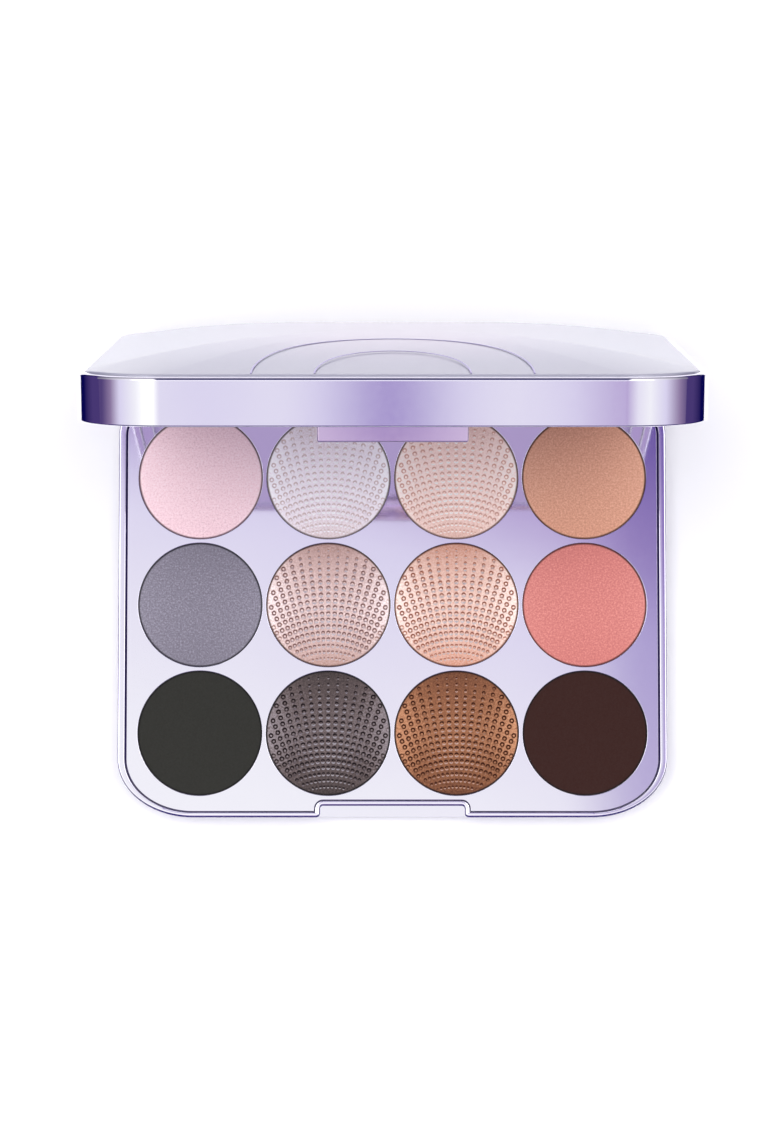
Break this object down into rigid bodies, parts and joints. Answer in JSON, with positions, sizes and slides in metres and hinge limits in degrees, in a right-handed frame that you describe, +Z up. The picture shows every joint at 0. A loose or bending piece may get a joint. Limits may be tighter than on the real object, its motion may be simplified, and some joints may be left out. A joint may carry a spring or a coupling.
{
  "type": "eyeshadow palette",
  "caption": "Hinged cosmetic compact with round pans of pressed eyeshadow, a domed lid standing open on its hinge, an inside mirror and a front latch tongue.",
  "frame": {"origin": "centre of the base's underside, on the surface that the case rests on", "axes": "+Z up, -Y towards the opening side with the latch notch, +X to the right across the pans"},
  "size_m": [0.1152, 0.1017, 0.1],
  "materials": {
    "lilac_case": "glossy metallised lilac",
    "deck_metallised": "mirror-like pale lilac metallised plastic",
    "pearl_panel": "pearly pale lavender lacquer",
    "mirror_glass": "silvered glass",
    "white_plastic": "glossy white lilac plastic",
    "adhesive": "matt white adhesive",
    "steel_pin": "bright steel wire",
    "tin_pan": "drawn tinplate",
    "powder_chocolate": "matt dark chocolate pressed powder",
    "powder_bronze": "metallic bronze pressed powder, dimpled",
    "powder_gunmetal": "metallic gunmetal brown pressed powder, dimpled",
    "powder_charcoal": "matt charcoal green pressed powder",
    "powder_coral": "satin coral pressed powder",
    "powder_peach_gold": "metallic peach gold pressed powder, dimpled",
    "powder_rose_beige": "metallic rose beige pressed powder, dimpled",
    "powder_slate": "satin slate lilac pressed powder",
    "powder_tan": "satin tan pressed powder",
    "powder_champagne": "metallic champagne pressed powder, dimpled",
    "powder_pearl": "iridescent pearl pressed powder, dimpled",
    "powder_pink": "satin pale pink pressed powder"
  },
  "bodies": {
    "base": {"base_shell": "lilac_case", "deck_frame": "deck_metallised", "pan_glue": "adhesive", "catch_bar": "white_plastic", "pan_front_4": "tin_pan", "pan_front_3": "tin_pan", "pan_front_2": "tin_pan", "pan_front_1": "tin_pan", "pan_middle_4": "tin_pan", "pan_middle_3": "tin_pan", "pan_middle_2": "tin_pan", "pan_middle_1": "tin_pan", "pan_rear_4": "tin_pan", "pan_rear_3": "tin_pan", "pan_rear_2": "tin_pan", "pan_rear_1": "tin_pan", "powder_chocolate": "powder_chocolate", "powder_bronze": "powder_bronze", "powder_gunmetal": "powder_gunmetal", "powder_charcoal": "powder_charcoal", "powder_coral": "powder_coral", "powder_peach_gold": "powder_peach_gold", "powder_rose_beige": "powder_rose_beige", "powder_slate": "powder_slate", "powder_tan": "powder_tan", "powder_champagne": "powder_champagne", "powder_pearl": "powder_pearl", "powder_pink": "powder_pink", "hinge_pin_left": "steel_pin", "hinge_pin_right": "steel_pin"},
    "lid": {"lid_shell": "lilac_case", "lid_panel": "pearl_panel", "panel_tape": "adhesive", "mirror_frame": "deck_metallised", "mirror_glass": "mirror_glass", "mirror_tape": "adhesive", "latch_tongue": "lilac_case"}
  },
  "joints": [
    {"name": "lid_hinge", "type": "hinge", "parent": "base", "child": "lid", "pos_m": [0, 0.0466, 0.0075], "axis": [-1, 0, 0], "range_deg": [-76.75, 53.25]}
  ]
}
